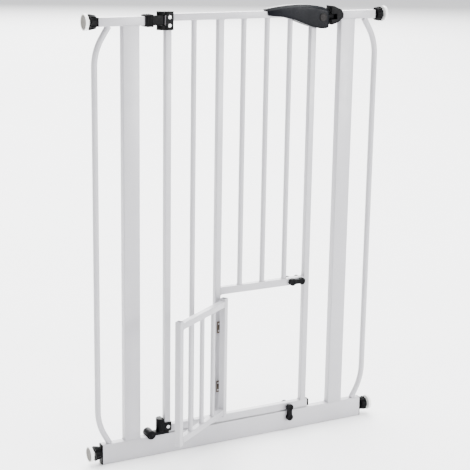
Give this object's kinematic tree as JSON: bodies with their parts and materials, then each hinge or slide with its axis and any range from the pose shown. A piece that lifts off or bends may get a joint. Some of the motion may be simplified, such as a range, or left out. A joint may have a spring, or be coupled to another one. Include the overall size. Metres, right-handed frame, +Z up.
{
  "type": "pet gate",
  "caption": "Tall white tubular walk-through gate clamped between walls, with a hinged main door, lift handle latch and a small pet door that swings open and is held by turn latches.",
  "frame": {"origin": "on the floor, under the middle of the bottom bar", "axes": "+X along the gate to the latch side, +Y away from the side both doors open to, +Z up"},
  "size_m": [0.785, 0.1703, 1.068],
  "materials": {
    "powder_coat": "semi-gloss off-white powder coat",
    "black_plastic": "satin moulded black",
    "handle_plastic": "glossy navy-black",
    "zinc_steel": "bright zinc plate",
    "pad_rubber": "matt off-white"
  },
  "bodies": {
    "frame": {"bottom_bar": "powder_coat", "left_top_stub": "powder_coat", "right_top_stub": "powder_coat", "left_upright": "powder_coat", "right_upright": "powder_coat", "left_bow": "powder_coat", "right_bow": "powder_coat", "left_stub_plug": "black_plastic", "right_stub_plug": "black_plastic", "left_bar_plug": "black_plastic", "right_bar_plug": "black_plastic", "upper_hinge_bracket": "black_plastic", "lower_hinge_shoe": "black_plastic", "latch_catch": "black_plastic"},
    "door": {"door_hinge_stile": "powder_coat", "door_middle_stile": "powder_coat", "door_latch_stile": "powder_coat", "door_top_rail": "powder_coat", "door_mid_rail": "powder_coat", "door_bottom_rail": "powder_coat", "door_bar_1": "powder_coat", "door_bar_2": "powder_coat", "door_bar_3": "powder_coat", "door_bar_4": "powder_coat", "door_rail_plug": "black_plastic", "upper_hinge_leaf": "black_plastic", "upper_hinge_pin": "zinc_steel", "lower_hinge_socket": "black_plastic", "latch_block": "black_plastic", "door_lower_hinge_leaf": "zinc_steel", "door_upper_hinge_leaf": "zinc_steel"},
    "handle": {"handle_lever": "handle_plastic", "handle_pivot_pin": "black_plastic"},
    "latch_bolt": {"latch_bolt": "black_plastic"},
    "pet_door": {"pet_hinge_stile": "powder_coat", "pet_free_stile": "powder_coat", "pet_top_rail": "powder_coat", "pet_bottom_rail": "powder_coat", "pet_bar_1": "powder_coat", "pet_bar_2": "powder_coat", "pet_bar_3": "powder_coat", "pet_lower_hinge_leaf": "zinc_steel", "pet_upper_hinge_leaf": "zinc_steel"},
    "upper_latch": {"upper_latch_front": "black_plastic", "upper_latch_back": "black_plastic"},
    "lower_latch": {"lower_latch_front": "black_plastic", "lower_latch_knob": "black_plastic"},
    "left_upper_nut": {"left_upper_nut": "black_plastic"},
    "left_upper_foot": {"left_upper_spindle": "zinc_steel", "left_upper_wall_pad": "pad_rubber"},
    "left_lower_nut": {"left_lower_nut": "black_plastic"},
    "left_lower_foot": {"left_lower_spindle": "zinc_steel", "left_lower_wall_pad": "pad_rubber"},
    "right_upper_nut": {"right_upper_nut": "black_plastic"},
    "right_upper_foot": {"right_upper_spindle": "zinc_steel", "right_upper_wall_pad": "pad_rubber"},
    "right_lower_nut": {"right_lower_nut": "black_plastic"},
    "right_lower_foot": {"right_lower_spindle": "zinc_steel", "right_lower_wall_pad": "pad_rubber"}
  },
  "joints": [
    {"name": "door_swing", "type": "hinge", "parent": "frame", "child": "door", "pos_m": [-0.207, 0, 0.5], "axis": [0, 0, -1], "range_deg": [0, 75]},
    {"name": "handle_lift", "type": "hinge", "parent": "door", "child": "handle", "pos_m": [0.207, 0, 1.037], "axis": [0, 1, 0], "range_deg": [0, 22]},
    {"name": "bolt_slide", "type": "slide", "parent": "door", "child": "latch_bolt", "axis": [-1, 0, 0], "range_m": [0, 0.014]},
    {"name": "pet_door_swing", "type": "hinge", "parent": "door", "child": "pet_door", "pos_m": [-0.04885, -0.0105, 0.225], "axis": [0, 0, 1], "range_deg": [0, 146]},
    {"name": "upper_latch_turn", "type": "hinge", "parent": "door", "child": "upper_latch", "pos_m": [0.146, 0, 0.39], "axis": [0, 1, 0], "continuous": true},
    {"name": "lower_latch_turn", "type": "hinge", "parent": "door", "child": "lower_latch", "pos_m": [0.146, 0, 0.0605], "axis": [0, 1, 0], "continuous": true},
    {"name": "left_upper_nut_turn", "type": "hinge", "parent": "frame", "child": "left_upper_nut", "pos_m": [-0.372, 0, 1.04], "axis": [-1, 0, 0], "range_deg": [-480, 2160]},
    {"name": "left_upper_spindle_slide", "type": "slide", "parent": "frame", "child": "left_upper_foot", "axis": [-1, 0, 0], "range_m": [-0.004, 0.018]},
    {"name": "left_lower_nut_turn", "type": "hinge", "parent": "frame", "child": "left_lower_nut", "pos_m": [-0.372, 0, 0.029], "axis": [-1, 0, 0], "range_deg": [-480, 2160]},
    {"name": "left_lower_spindle_slide", "type": "slide", "parent": "frame", "child": "left_lower_foot", "axis": [-1, 0, 0], "range_m": [-0.004, 0.018]},
    {"name": "right_upper_nut_turn", "type": "hinge", "parent": "frame", "child": "right_upper_nut", "pos_m": [0.372, 0, 1.04], "axis": [1, 0, 0], "range_deg": [-480, 2160]},
    {"name": "right_upper_spindle_slide", "type": "slide", "parent": "frame", "child": "right_upper_foot", "axis": [1, 0, 0], "range_m": [-0.004, 0.018]},
    {"name": "right_lower_nut_turn", "type": "hinge", "parent": "frame", "child": "right_lower_nut", "pos_m": [0.372, 0, 0.029], "axis": [1, 0, 0], "range_deg": [-480, 2160]},
    {"name": "right_lower_spindle_slide", "type": "slide", "parent": "frame", "child": "right_lower_foot", "axis": [1, 0, 0], "range_m": [-0.004, 0.018]}
  ],
  "couplings": [
    {"joint": "bolt_slide", "follows": "handle_lift", "m_per_rad": 0.03646},
    {"joint": "left_upper_nut_turn", "follows": "left_upper_spindle_slide", "rad_per_m": 2094.4},
    {"joint": "left_lower_nut_turn", "follows": "left_lower_spindle_slide", "rad_per_m": 2094.4},
    {"joint": "right_upper_nut_turn", "follows": "right_upper_spindle_slide", "rad_per_m": 2094.4},
    {"joint": "right_lower_nut_turn", "follows": "right_lower_spindle_slide", "rad_per_m": 2094.4}
  ]
}
